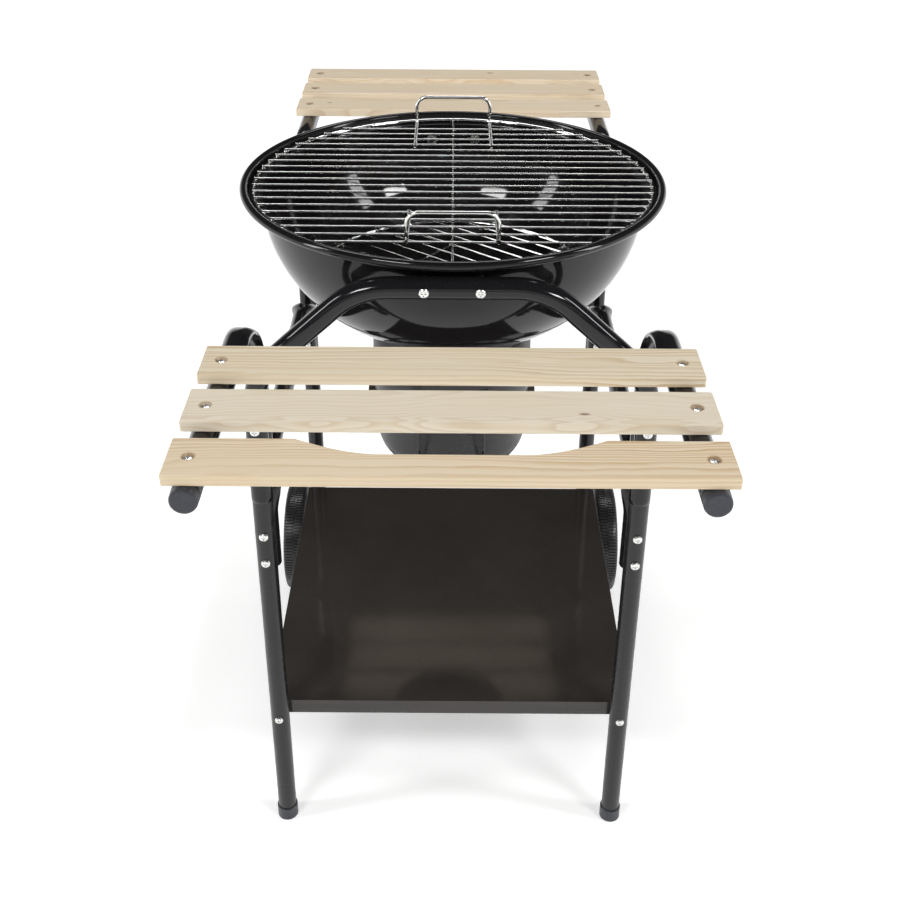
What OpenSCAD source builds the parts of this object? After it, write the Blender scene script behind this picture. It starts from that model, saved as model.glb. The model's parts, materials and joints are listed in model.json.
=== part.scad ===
// Kettle charcoal grill on a tube trolley with two slatted side tables.
// Millimetres, +Z up. The origin is on the floor under the centre of the kettle.
// X runs across the trolley, -Y is the end with the feet, +Y the end with the wheels.

/* [Kettle] */
// Outer diameter of the kettle rim
rim_d = 520; // [480:5:540]
// Height of the rim above the floor
rim_z = 832; // [800:1:860]
// Outer diameter of the kettle wall below the rim
bowl_d = 470; // [440:2:480]
// Depth of the wall's curve below its widest place
bowl_depth = 197; // [185:1:215]
// Sheet thickness of the kettle
bowl_wall = 1.6; // [1.2:0.1:2.5]
// Diameter of the flat floor of the kettle
bowl_floor_d = 196; // [180:2:200]

/* [Grates] */
// Diameter of the cooking grate's ring, middle of the wire
cooking_ring_d = 487; // [480:1:488]
// Spacing of the cooking grate's wires
cooking_pitch = 21.3; // [20:0.1:22]
// Number of wires across the cooking grate
cooking_wires = 19; // [15:2:21]
// Diameter of the thin grate wires
wire_d = 2.8; // [2.5:0.1:4]
// Diameter of the ring wires
ring_wire_d = 5; // [4:0.1:6]
// Diameter of the charcoal grate's ring, middle of the wire; the ring rests on the kettle's wall
charcoal_ring_d = 357; // [345:1:370]
// Spacing of the charcoal grate's wires
charcoal_pitch = 24; // [20:1:30]
// Turn of the charcoal grate's wires in plan, in degrees
charcoal_turn = -38; // [-60:1:0]
// Width of a cooking grate handle
handle_w = 100; // [80:1:110]
// Height of a cooking grate handle above the wires
handle_h = 37; // [30:1:45]

/* [Stand] */
// Distance of the legs from the middle plane, across the trolley
stand_x = 220; // [200:1:235]
// Distance of the leg planes from the middle plane, along the trolley
stand_y = 252; // [250:1:262]
// Outer diameter of hoops, rails and table arms
tube_d = 25; // [22:0.5:26]
// Outer diameter of the lower legs
leg_d = 24; // [21:0.5:25]
// Wall thickness of the tubes
tube_wall = 1.2; // [1:0.1:2]
// Height of the flat top of the bowl hoops
hoop_z = 800; // [790:1:805]
// Half length of a hoop's flat top, up to the corner point
hoop_flat = 102; // [90:1:115]
// Height of the corner point where a hoop turns down
hoop_corner_z = 690; // [685:1:692]
// Height of the joint between hoop and lower leg
joint_z = 526; // [515:1:535]
// Height of the side rails
rail_z = 548; // [540:1:555]
// Height of the lower ends of the side rails
rail_end_z = 412; // [400:1:420]

/* [Tables] */
// Height of the table tops
table_z = 795.5; // [780:0.5:810]
// Length of a slat
slat_len = 477; // [460:1:500]
// Width of a slat
slat_w = 57; // [50:0.5:60]
// Thickness of a slat
slat_t = 11; // [10:0.5:14]
// Gap between two slats
slat_gap = 25.5; // [20:0.5:30]
// Distance of the outer slat's outer edge from the middle plane
table_end = 596; // [580:1:605]
// Depth of the hand cut-out in the front table's outer slat
cutout_depth = 23; // [15:1:25]

/* [Shelf] */
// Height of the shelf's top face
shelf_z = 196; // [180:1:210]
// Height of the shelf's turned-down lips
shelf_lip = 22; // [16:1:26]
// Width of the shelf across the trolley
shelf_w = 469; // [450:1:475]

/* [Wheels] */
// Diameter of a wheel
wheel_d = 180; // [160:2:190]
// Width of a wheel's tread
wheel_w = 34; // [26:1:36]
// Diameter of the axle rod
axle_d = 8; // [6:0.5:10]

/* [Ash catcher] */
// Outer diameter of the collar under the kettle
collar_d = 207; // [200:1:210]
// Height of the collar's lower flange
flange_z = 530; // [520:1:540]
// Outer diameter of the ash pot
pot_d = 198; // [190:1:204]
// Depth of the rounded lower part of the ash pot
pot_round = 55; // [45:1:65]

/* [Hidden] */
$fn = 64;
rim_r = rim_d / 2;
bowl_r = bowl_d / 2;
lip_r = 5;
lip_z = rim_z - lip_r;
ledge_r = rim_r - 2 * lip_r;
ledge_z = rim_z - 12;
bowl_widest_z = rim_z - 10;
bowl_power = 2.1;
bowl_floor_r = bowl_floor_d / 2;
bowl_floor_z = bowl_height(bowl_floor_r);
profile_steps = 28;

tube_r = tube_d / 2;
leg_r = leg_d / 2;
spigot_r = tube_r - tube_wall - 0.1;
spigot_len = 60;
// The rails and table arms stand right behind the legs and hoops.
tube_gap = 1.5;
inner_y = stand_y - tube_d - tube_gap;
hoop_bend = 90;
arm_bend = 101;
rail_bend = 40;
arm_z = table_z - slat_t - tube_r;
arm_end_z = 592;
cap_end_y = table_end + 5;
arm_tip_y = cap_end_y - 10;

bolt_r = 3;
bolt_hole_r = 3.1;
head_r = 5.5;
head_h = 3.4;
nut_r = 5.6;
nut_h = 5;
leg_bolt_z = [479, 440];
arm_bolt_z = [664, 626];
hoop_bolt_x = 30;
slat_screw_r = 2.5;
slat_bore_r = 5.5;
slat_bore_depth = 3.5;
shelf_screw_z = shelf_z - 11;
leg_bottom_z = 4;
spacer_r = 6.5;
// Distance of the kettle's inside from the middle plane at the hoop bolts.
bolt_wall_in = sqrt(pow(bowl_radius(hoop_z) - bowl_wall, 2) - pow(hoop_bolt_x, 2));
foot_cap_r = 13.6;
foot_cap_h = 20;
rear_leg_bottom_z = 72;

wheel_r = wheel_d / 2;
axle_z = wheel_r;
wheel_inner_x = stand_x + leg_r + 7;
wheel_outer_x = wheel_inner_x + wheel_w;
axle_half = wheel_outer_x + 6;
running_gap = 0.05;
bend_overlap = 0.6;
bend_swell = 0.1;

cooking_ring_z = ledge_z + ring_wire_d / 2 + 0.3;
weld = 0.5;
cooking_wire_z = cooking_ring_z + ring_wire_d / 2 + wire_d / 2 - weld;
handle_wire_r = 2.2;
handle_y = 206;
handle_foot = 95;
// The charcoal grate's ring touches the sloping wall a little outside its own radius.
charcoal_ring_r = charcoal_ring_d / 2;
ring_stand_off = bowl_wall + ring_wire_d / 2 + 0.35;
charcoal_touch_r = charcoal_ring_r + ring_stand_off * sin(bowl_slope(charcoal_ring_r));
charcoal_z = bowl_height(charcoal_touch_r) + ring_stand_off * cos(bowl_slope(charcoal_touch_r));

collar_r = collar_d / 2;
collar_wall = 1.2;
collar_top_z = bowl_floor_z - 0.1;
flange_r = collar_r + 8;
tab_angles = [270, 10, 170];
tab_inner_r = 88;
tab_hole_r = 95;
damper_r = 84;
damper_t = 1.2;
damper_z = bowl_floor_z - 0.6 - damper_t;
vent_count = 3;
vent_angle = 38;
vent_inner_r = 24;
vent_outer_r = 76;
lever_turn = 40;
lever_play = 9;
pot_r = pot_d / 2;
pot_rim_r = 108;
pot_rim_z = flange_z - 3;
pot_curve_z = 475;
pot_floor_angle = 62;
pot_steps = 9;
pot_wall = 1.2;
cradle_x = 41;
cradle_wire_r = 1.5;
cradle_y = 107;
cradle_front_y = 114.5;
cradle_pivot_z = flange_z + 10;

shelf_y = stand_y - leg_r - 0.3;
shelf_t = 1.2;

// ---- shared functions -------------------------------------------------------

// Radius of the kettle's outside at height z, and height of its outside at radius r.
function bowl_radius(z) =
    bowl_r * pow(1 - pow(max(bowl_widest_z - z, 0) / bowl_depth, bowl_power), 1 / bowl_power);
function bowl_height(r) =
    bowl_widest_z - bowl_depth * pow(1 - pow(r / bowl_r, bowl_power), 1 / bowl_power);
// Slope of the kettle's wall at radius r, in degrees from level.
function bowl_slope(r) = atan2(bowl_height(r + 1) - bowl_height(r - 1), 2);
// Points of the kettle's outside from its floor to its widest place.
function bowl_side(shrink) = [
    for (i = [0 : profile_steps])
        let (r = bowl_floor_r + (bowl_r - 0.4 - bowl_floor_r) * sin(90 * i / profile_steps))
        [r - shrink * r / bowl_r, bowl_height(r) + shrink * (1 - r / bowl_r)]
];
function unit(v) = v / norm(v);
function left_of(v) = [-v.y, v.x];
function turn_between(a, b) = acos(min(1, max(-1, a * b)));

// ---- shared shapes ----------------------------------------------------------

// A round rod along 2D points in the local XY plane, bent to the given radii at its corners.
// Straight pieces run a little way into the bends, which are a hair thicker.
module rod_path(points, bends, r, extra = 0) {
    last = len(points) - 1;
    dirs = [for (i = [0 : last - 1]) unit(points[i + 1] - points[i])];
    cuts = [for (i = [0 : last])
        i == 0 || i == last ? -extra : bends[i - 1] * tan(turn_between(dirs[i - 1], dirs[i]) / 2)];
    for (i = [0 : last - 1]) {
        lead_in = i == 0 ? 0 : bend_overlap;
        lead_out = i == last - 1 ? 0 : bend_overlap;
        start = points[i] + dirs[i] * (cuts[i] - lead_in);
        length = norm(points[i + 1] - points[i]) - cuts[i] - cuts[i + 1] + lead_in + lead_out;
        translate([start.x, start.y, 0])
            rotate([0, 0, atan2(dirs[i].y, dirs[i].x)])
                rotate([0, 90, 0])
                    cylinder(r = r, h = length);
    }
    for (i = [1 : last - 1]) {
        side = sign(cross(dirs[i - 1], dirs[i]));
        turn = turn_between(dirs[i - 1], dirs[i]);
        start = points[i] - dirs[i - 1] * cuts[i];
        centre = start + left_of(dirs[i - 1]) * side * bends[i - 1];
        away = -side * left_of(dirs[i - 1]);
        from = atan2(away.y, away.x);
        translate([centre.x, centre.y, 0])
            rotate([0, 0, side > 0 ? from : from - turn])
                rotate_extrude(angle = turn)
                    translate([bends[i - 1], 0])
                        circle(r = r + bend_swell);
    }
}

// A hollow tube on the same kind of path.
module tube_path(points, bends) {
    difference() {
        rod_path(points, bends, tube_r);
        rod_path(points, bends, tube_r - tube_wall, 1);
    }
}

// Puts a shape drawn in the local XY plane upright: local X stays X, local Y becomes Z.
module upright_xz(y) translate([0, y, 0]) rotate([90, 0, 0]) children();
// The same with local X along Y.
module upright_yz(x) translate([x, 0, 0]) rotate([90, 0, 90]) children();

module along_y(x, y, z) translate([x, y, z]) rotate([-90, 0, 0]) children();
module along_x(x, y, z) translate([x, y, z]) rotate([0, 90, 0]) children();

// A bolt along local +Z, with a domed cross-slot head below the origin.
module bolt(length, r = bolt_r, cap_r = head_r, cap_h = head_h) {
    cylinder(r = r, h = length);
    difference() {
        rotate_extrude()
            polygon([
                [0, 0], [cap_r, 0], [cap_r, -cap_h * 0.35], [cap_r * 0.94, -cap_h * 0.6],
                [cap_r * 0.75, -cap_h * 0.85], [cap_r * 0.45, -cap_h * 0.97], [0, -cap_h]
            ]);
        cross_slot(cap_r * 1.1, -cap_h - 0.1, cap_h * 0.5);
    }
}

module cross_slot(span, z, depth) {
    translate([-span / 2, -0.6, z]) cube([span, 1.2, depth]);
    translate([-0.6, -span / 2, z]) cube([1.2, span, depth]);
}

// A hexagon nut on a bolt of radius r, from the origin up.
module nut(r = bolt_r, across = nut_r, h = nut_h) {
    difference() {
        cylinder(r = across, h = h, $fn = 6);
        translate([0, 0, -1]) cylinder(r = r + 0.02, h = h + 2);
    }
}

module washer(inner, outer, t) {
    difference() {
        cylinder(r = outer, h = t);
        translate([0, 0, -1]) cylinder(r = inner, h = t + 2);
    }
}

// A shape of the left side (-X) and its twin on the right.
module both_x() {
    children();
    mirror([1, 0, 0]) children();
}

// A shape of the front (-Y) and its twin at the rear.
module both_y() {
    children();
    mirror([0, 1, 0]) children();
}

module to_rear() mirror([0, 1, 0]) children();
module to_right() mirror([1, 0, 0]) children();

// ---- stand ------------------------------------------------------------------

// Holes of the leg's bolts, along Y.
module leg_bolt_holes() {
    for (z = leg_bolt_z)
        along_y(-stand_x, -stand_y - 20, z) cylinder(r = bolt_hole_r, h = 60);
}

// A lower leg at the front left, from height z up to its spigot inside the hoop.
module lower_leg(bottom_z) {
    difference() {
        translate([-stand_x, -stand_y, 0]) {
            translate([0, 0, bottom_z]) cylinder(r = leg_r, h = joint_z - bottom_z);
            translate([0, 0, joint_z - 1]) cylinder(r = spigot_r, h = spigot_len + 1);
        }
        translate([-stand_x, -stand_y, 0]) {
            translate([0, 0, bottom_z - 1])
                cylinder(r = leg_r - tube_wall, h = joint_z - 8 - bottom_z + 1);
            translate([0, 0, joint_z - 9])
                cylinder(r = spigot_r - tube_wall, h = spigot_len + 10);
        }
        leg_bolt_holes();
        along_y(-stand_x, -stand_y - 20, shelf_screw_z) cylinder(r = slat_screw_r + 0.1, h = 40);
    }
}

module rear_lower_leg() {
    difference() {
        to_rear() lower_leg(rear_leg_bottom_z);
        along_x(-stand_x - 20, stand_y, axle_z) cylinder(r = axle_d / 2 + 0.1, h = 40);
    }
}

module left_front_leg() color([0.05, 0.05, 0.05]) lower_leg(leg_bottom_z);
module right_front_leg() color([0.05, 0.05, 0.05]) to_right() lower_leg(leg_bottom_z);
module left_rear_leg() color([0.05, 0.05, 0.05]) rear_lower_leg();
module right_rear_leg() color([0.05, 0.05, 0.05]) to_right() rear_lower_leg();

// The hoop that carries the kettle, drawn at the front.
module bowl_hoop() {
    outline = [
        [-stand_x, joint_z + 0.1], [-stand_x, hoop_corner_z], [-hoop_flat, hoop_z],
        [hoop_flat, hoop_z], [stand_x, hoop_corner_z], [stand_x, joint_z + 0.1]
    ];
    difference() {
        upright_xz(-stand_y)
            tube_path(outline, [hoop_bend, hoop_bend, hoop_bend, hoop_bend]);
        both_x() {
            for (z = arm_bolt_z)
                along_y(-stand_x, -stand_y - 20, z) cylinder(r = bolt_hole_r, h = 40);
            along_y(-hoop_bolt_x, -stand_y - 20, hoop_z) cylinder(r = bolt_hole_r, h = 40);
        }
    }
}

module front_bowl_hoop() color([0.04, 0.04, 0.04]) bowl_hoop();
module rear_bowl_hoop() color([0.04, 0.04, 0.04]) to_rear() bowl_hoop();

module left_rail() {
    outline = [
        [-inner_y, rail_end_z], [-inner_y, rail_z], [inner_y, rail_z], [inner_y, rail_end_z]
    ];
    difference() {
        upright_yz(-stand_x) tube_path(outline, [rail_bend, rail_bend]);
        both_y() leg_bolt_holes();
    }
}

module left_side_rail() color([0.04, 0.04, 0.04]) left_rail();
module right_side_rail() color([0.04, 0.04, 0.04]) to_right() left_rail();

// A table arm at the front left: level under the slats, then down behind the hoop.
module table_arm() {
    outline = [[-arm_tip_y, arm_z], [-inner_y, arm_z], [-inner_y, arm_end_z]];
    difference() {
        upright_yz(-stand_x) tube_path(outline, [arm_bend]);
        for (z = arm_bolt_z)
            along_y(-stand_x, -stand_y - 20, z) cylinder(r = bolt_hole_r, h = 60);
        for (i = [0 : 2])
            translate([-stand_x, -slat_middle(i), arm_z - 20])
                cylinder(r = slat_screw_r + 0.1, h = 40);
    }
}

module front_left_table_arm() color([0.04, 0.04, 0.04]) table_arm();
module front_right_table_arm() color([0.04, 0.04, 0.04]) to_right() table_arm();
module rear_left_table_arm() color([0.04, 0.04, 0.04]) to_rear() table_arm();
module rear_right_table_arm() color([0.04, 0.04, 0.04]) to_rear() to_right() table_arm();

module arm_end_cap() {
    along_y(-stand_x, -cap_end_y, arm_z) {
        rotate_extrude()
            polygon([
                [0, 0], [tube_r - 2, 0], [tube_r - 0.6, 0.8], [tube_r - 0.1, 2.5],
                [tube_r - 0.1, 9.9], [tube_r - tube_wall - 0.05, 9.9],
                [tube_r - tube_wall - 0.05, 26], [tube_r - 3, 26], [tube_r - 3, 3], [0, 3]
            ]);
    }
}

module arm_end_caps() color([0.08, 0.08, 0.1]) both_y() both_x() arm_end_cap();

module foot_cap() {
    translate([-stand_x, -stand_y, 0])
        difference() {
            rotate_extrude()
                polygon([
                    [0, 0], [foot_cap_r - 1, 0], [foot_cap_r, 1], [foot_cap_r, foot_cap_h - 1],
                    [foot_cap_r - 0.8, foot_cap_h], [0, foot_cap_h]
                ]);
            translate([0, 0, leg_bottom_z]) cylinder(r = leg_r + 0.02, h = foot_cap_h);
        }
}

module foot_caps() color([0.1, 0.1, 0.1]) both_x() foot_cap();

// ---- stand fasteners --------------------------------------------------------

module leg_bolts() {
    color([0.8, 0.8, 0.78])
        both_y() both_x()
            for (z = leg_bolt_z)
                along_y(-stand_x, -stand_y - leg_r, z) bolt(stand_y + leg_r - inner_y + tube_r + 8);
}

module leg_nuts() {
    color([0.75, 0.75, 0.73])
        both_y() both_x()
            for (z = leg_bolt_z)
                along_y(-stand_x, -inner_y + tube_r, z) nut();
}

module arm_bolts() {
    color([0.8, 0.8, 0.78])
        both_y() both_x()
            for (z = arm_bolt_z)
                along_y(-stand_x, -stand_y - tube_r, z) bolt(stand_y + tube_r - inner_y + tube_r + 8);
}

module arm_nuts() {
    color([0.75, 0.75, 0.73])
        both_y() both_x()
            for (z = arm_bolt_z)
                along_y(-stand_x, -inner_y + tube_r, z) nut();
}

module hoop_bolts() {
    color([0.8, 0.8, 0.78])
        both_y() both_x()
            along_y(-hoop_bolt_x, -stand_y - tube_r, hoop_z)
                bolt(stand_y + tube_r - bolt_wall_in + 10.5);
}

// Plain sleeves between hoop and kettle.
module hoop_spacers() {
    start_y = stand_y - tube_r - 0.05;
    end_y = sqrt(pow(bowl_radius(hoop_z + spacer_r), 2) - pow(hoop_bolt_x - spacer_r, 2)) + 0.05;
    color([0.12, 0.12, 0.12])
        both_y() both_x()
            along_y(-hoop_bolt_x, -start_y, hoop_z) washer(bolt_hole_r, spacer_r, start_y - end_y);
}

module hoop_washers() {
    color([0.8, 0.8, 0.78])
        both_y() both_x()
            along_y(-hoop_bolt_x, -bolt_wall_in + 2, hoop_z) washer(bolt_hole_r, 7.5, 1.2);
}

module hoop_nuts() {
    color([0.75, 0.75, 0.73])
        both_y() both_x()
            along_y(-hoop_bolt_x, -bolt_wall_in + 3.25, hoop_z) nut();
}

// ---- tables -----------------------------------------------------------------

// Distance of the middle of slat i from the middle plane: 0 is the slat nearest the kettle.
function slat_middle(i) = table_end - slat_w / 2 - (2 - i) * (slat_w + slat_gap);

// The hand hole's outline: a sine run down from each corner to a flat bottom.
module cutout_outline() {
    reach = 134;
    flat = 60;
    steps = 10;
    edge = slat_w / 2;
    run = [for (i = [0 : steps])
        [flat + (reach - flat) * (1 - i / steps), edge - cutout_depth * sin(90 * i / steps)]];
    back = [for (i = [steps : -1 : 0]) [-run[i].x, run[i].y]];
    polygon(concat([[reach, edge + 5]], run, back, [[-reach, edge + 5]]));
}

module slat(i, cutout = false) {
    translate([0, -slat_middle(i), table_z - slat_t])
        difference() {
            linear_extrude(slat_t)
                difference() {
                    square([slat_len, slat_w], center = true);
                    if (cutout) cutout_outline();
                }
            both_x() {
                translate([-stand_x, 0, -1]) cylinder(r = slat_screw_r + 0.1, h = slat_t + 2);
                translate([-stand_x, 0, slat_t - slat_bore_depth]) cylinder(r = slat_bore_r, h = 10);
            }
        }
}

module front_slat_inner() color([0.86, 0.76, 0.6]) slat(0);
module front_slat_middle() color([0.86, 0.76, 0.6]) slat(1);
module front_slat_outer() color([0.86, 0.76, 0.6]) slat(2, true);
module rear_slat_inner() color([0.86, 0.76, 0.6]) to_rear() slat(0);
module rear_slat_middle() color([0.86, 0.76, 0.6]) to_rear() slat(1);
module rear_slat_outer() color([0.86, 0.76, 0.6]) to_rear() slat(2);

module slat_screws() {
    color([0.8, 0.78, 0.72])
        both_y() both_x()
            for (i = [0 : 2])
                translate([-stand_x, -slat_middle(i), table_z - slat_bore_depth])
                    mirror([0, 0, 1])
                        bolt(slat_t - slat_bore_depth + tube_d + 6, slat_screw_r, 4.6, 2.4);
}

module slat_nuts() {
    color([0.75, 0.75, 0.73])
        both_y() both_x()
            for (i = [0 : 2])
                translate([-stand_x, -slat_middle(i), arm_z - tube_r - 4])
                    nut(slat_screw_r, 4.6, 4);
}

// ---- shelf ------------------------------------------------------------------

module bottom_shelf() {
    color([0.06, 0.05, 0.05])
        translate([0, 0, shelf_z - shelf_lip])
            difference() {
                linear_extrude(shelf_lip) square([shelf_w, 2 * shelf_y], center = true);
                translate([0, 0, -1])
                    linear_extrude(shelf_lip - shelf_t + 1)
                        square([shelf_w - 2 * shelf_t, 2 * (shelf_y - shelf_t)], center = true);
                both_y() both_x()
                    along_y(-stand_x, -shelf_y - 5, shelf_screw_z - shelf_z + shelf_lip)
                        cylinder(r = slat_screw_r + 0.1, h = 12);
            }
}

module shelf_screws() {
    color([0.8, 0.8, 0.78])
        both_y() both_x()
            along_y(-stand_x, -stand_y - leg_r, shelf_screw_z)
                bolt(stand_y + leg_r - shelf_y + shelf_t + 6, slat_screw_r, 5.2, 3);
}

module shelf_nuts() {
    color([0.75, 0.75, 0.73])
        both_y() both_x()
            along_y(-stand_x, -shelf_y + shelf_t, shelf_screw_z) nut(slat_screw_r, 4.6, 4);
}

// ---- wheels -----------------------------------------------------------------

module wheel() {
    half = wheel_w / 2;
    along_x(-wheel_inner_x - half, stand_y, axle_z)
        rotate_extrude()
            polygon([
                [axle_d / 2 + running_gap, -half], [17, -half], [17, -3], [wheel_r - 22, -3],
                [wheel_r - 16, -half + 2], [wheel_r - 7, -half], [wheel_r - 1.5, -half + 4],
                [wheel_r, -half + 9], [wheel_r, half - 9], [wheel_r - 1.5, half - 4],
                [wheel_r - 7, half], [wheel_r - 16, half - 2], [wheel_r - 22, 3], [17, 3],
                [17, half], [axle_d / 2 + running_gap, half]
            ]);
}

module left_wheel() color([0.09, 0.09, 0.09]) wheel();
module right_wheel() color([0.09, 0.09, 0.09]) to_right() wheel();

module axle() {
    color([0.7, 0.7, 0.7])
        along_x(-axle_half, stand_y, axle_z) cylinder(r = axle_d / 2, h = 2 * axle_half);
}

module axle_washers() {
    color([0.75, 0.75, 0.75])
        both_x()
            along_x(-wheel_inner_x + 0.4, stand_y, axle_z)
                washer(axle_d / 2 + running_gap, 11, wheel_inner_x - 0.42 - stand_x - leg_r);
}

module axle_cap() {
    along_x(-wheel_outer_x - 9.4, stand_y, axle_z)
        difference() {
            rotate_extrude()
                polygon([[0, 0], [4, 0], [8.5, 1.5], [10.5, 4.5], [11.5, 9], [0, 9]]);
            translate([0, 0, 3.3]) cylinder(r = axle_d / 2 + 0.02, h = 8);
        }
}

module axle_caps() color([0.09, 0.09, 0.09]) both_x() axle_cap();

// ---- kettle -----------------------------------------------------------------

module kettle_shell() {
    outside = bowl_side(0);
    inside = [for (i = [profile_steps : -1 : 0]) bowl_side(bowl_wall)[i]];
    rotate_extrude()
        polygon(concat(
            [[0, bowl_floor_z]], outside,
            [
                [bowl_r, ledge_z - bowl_wall], [ledge_r + bowl_wall, ledge_z - bowl_wall],
                [ledge_r + bowl_wall, lip_z - 3.4]
            ],
            [for (a = [-138 : 12 : 150]) [rim_r - lip_r + lip_r * cos(a), lip_z + lip_r * sin(a)]],
            [
                [ledge_r, lip_z], [ledge_r, ledge_z], [bowl_r - bowl_wall - 0.2, ledge_z]
            ],
            inside, [[0, bowl_floor_z + bowl_wall]]
        ));
}

// One sector-shaped air hole around the X axis.
module vent(z, h) {
    translate([0, 0, z])
        rotate([0, 0, -vent_angle / 2])
            rotate_extrude(angle = vent_angle)
                translate([vent_inner_r, 0])
                    square([vent_outer_r - vent_inner_r, h]);
}

module kettle_bowl() {
    color([0.03, 0.03, 0.03])
        difference() {
            kettle_shell();
            for (i = [0 : vent_count - 1])
                rotate([0, 0, 30 + i * 360 / vent_count]) vent(bowl_floor_z - 5, 12);
            cylinder(r = bolt_hole_r, h = 2000);
            both_y() both_x()
                along_y(-hoop_bolt_x, -bowl_r - 10, hoop_z) cylinder(r = bolt_hole_r, h = 30);
            for (a = tab_angles)
                rotate([0, 0, a]) translate([tab_hole_r, 0, bowl_floor_z - 5]) cylinder(r = 2.1, h = 12);
        }
}

// ---- grates -----------------------------------------------------------------

function half_chord(r, y) = sqrt(r * r - y * y);

module ring(r, wire_r, z) translate([0, 0, z]) rotate_extrude() translate([r, 0]) circle(r = wire_r);

module cooking_grate() {
    ring_r = cooking_ring_d / 2;
    first = (cooking_wires - 1) / 2;
    color([0.8, 0.8, 0.8]) {
        ring(ring_r, ring_wire_d / 2, cooking_ring_z);
        for (i = [-first : first]) {
            half = half_chord(ring_r, i * cooking_pitch) + 1;
            along_x(-half, i * cooking_pitch, cooking_wire_z) cylinder(r = wire_d / 2, h = 2 * half);
        }
        along_y(0, -ring_r - 1, cooking_wire_z - wire_d + weld)
            cylinder(r = wire_d / 2, h = 2 * ring_r + 2);
    }
}

// A handle over the wires at the front: feet along the wires, then up and across.
module grate_handle() {
    half = handle_w / 2;
    foot_z = cooking_wire_z + wire_d / 2 + handle_wire_r + 0.02;
    bend = 14;
    foot_bend = 6;
    top_z = foot_z + handle_h;
    post_z = top_z - bend;
    post = [[-handle_y + handle_foot, foot_z], [-handle_y, foot_z], [-handle_y, post_z]];
    bar = [[-half, post_z - 0.01], [-half, top_z], [half, top_z], [half, post_z - 0.01]];
    both_x()
        upright_yz(-half) rod_path(post, [foot_bend], handle_wire_r);
    upright_xz(-handle_y) rod_path(bar, [bend, bend], handle_wire_r);
}

module front_grate_handle() color([0.8, 0.8, 0.8]) grate_handle();
module rear_grate_handle() color([0.8, 0.8, 0.8]) to_rear() grate_handle();

module charcoal_grate() {
    count = floor((charcoal_ring_r - 6) / charcoal_pitch);
    wire_z = charcoal_z + ring_wire_d / 2 + wire_d / 2 - weld;
    color([0.7, 0.7, 0.7]) {
        ring(charcoal_ring_r, ring_wire_d / 2, charcoal_z);
        rotate([0, 0, charcoal_turn]) {
            for (i = [-count : count]) {
                half = half_chord(charcoal_ring_r, i * charcoal_pitch) + 1;
                along_x(-half, i * charcoal_pitch, wire_z) cylinder(r = wire_d / 2, h = 2 * half);
            }
            for (side = [-1, 1]) {
                half = half_chord(charcoal_ring_r, 60) + 1;
                along_y(side * 60, -half, wire_z - wire_d + weld) cylinder(r = wire_d / 2, h = 2 * half);
            }
        }
    }
}

// ---- ash catcher ------------------------------------------------------------

module ash_collar() {
    tab_z = collar_top_z - collar_wall;
    lug_half = 9;
    color([0.05, 0.05, 0.05])
        difference() {
            union() {
                rotate_extrude()
                    polygon([
                        [flange_r, flange_z], [flange_r, flange_z + collar_wall],
                        [collar_r, flange_z + collar_wall], [collar_r, collar_top_z + 1.5],
                        [collar_r - collar_wall, collar_top_z + 1],
                        [collar_r - collar_wall, flange_z]
                    ]);
                for (a = tab_angles)
                    rotate([0, 0, a])
                        translate([tab_inner_r, -8, tab_z])
                            cube([collar_r - collar_wall / 2 - tab_inner_r, 16, collar_wall]);
                translate([-lug_half, collar_r - 1, cradle_pivot_z - 3.5])
                    cube([2 * lug_half, cradle_y + 3.5 - collar_r + 1, 7]);
            }
            // Hinge eye for the cradle, screw holes and the damper lever's slot.
            along_x(-30, cradle_y, cradle_pivot_z) cylinder(r = cradle_wire_r + running_gap, h = 60);
            for (a = tab_angles)
                rotate([0, 0, a]) translate([tab_hole_r, 0, tab_z - 5]) cylinder(r = 2.1, h = 12);
            translate([0, 0, damper_z - 2])
                rotate([0, 0, 90 - lever_play])
                    rotate_extrude(angle = lever_turn + 2 * lever_play)
                        translate([collar_r - 6, 0])
                            square([12, 12]);
        }
}

module collar_screws() {
    color([0.8, 0.8, 0.78])
        for (a = tab_angles)
            rotate([0, 0, a])
                translate([tab_hole_r, 0, bowl_floor_z + bowl_wall])
                    mirror([0, 0, 1])
                        bolt(bowl_wall + collar_wall + 5, 2, 4, 2);
}

module collar_nuts() {
    color([0.75, 0.75, 0.73])
        for (a = tab_angles)
            rotate([0, 0, a])
                translate([tab_hole_r, 0, collar_top_z - collar_wall - 3.2])
                    nut(2, 3.9, 3.2);
}

// Outline points of the pot's rounded side, from the edge of its flat floor up.
function pot_side(shrink) = [
    for (i = [pot_steps : -1 : 0])
        let (a = pot_floor_angle * i / pot_steps)
        [(pot_r - shrink) * cos(a), pot_curve_z - (pot_round - shrink) * sin(a)]
];

module ash_pot() {
    inside = [for (i = [len(pot_side(0)) - 1 : -1 : 0]) pot_side(pot_wall)[i]];
    color([0.05, 0.05, 0.05])
        rotate_extrude()
            polygon(concat(
                [[0, pot_side(0)[0].y]], pot_side(0),
                [
                    [pot_r, pot_rim_z], [pot_rim_r, pot_rim_z], [pot_rim_r, pot_rim_z + pot_wall],
                    [pot_r - pot_wall, pot_rim_z + pot_wall]
                ],
                inside, [[0, inside[pot_steps].y]]
            ));
}

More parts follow.
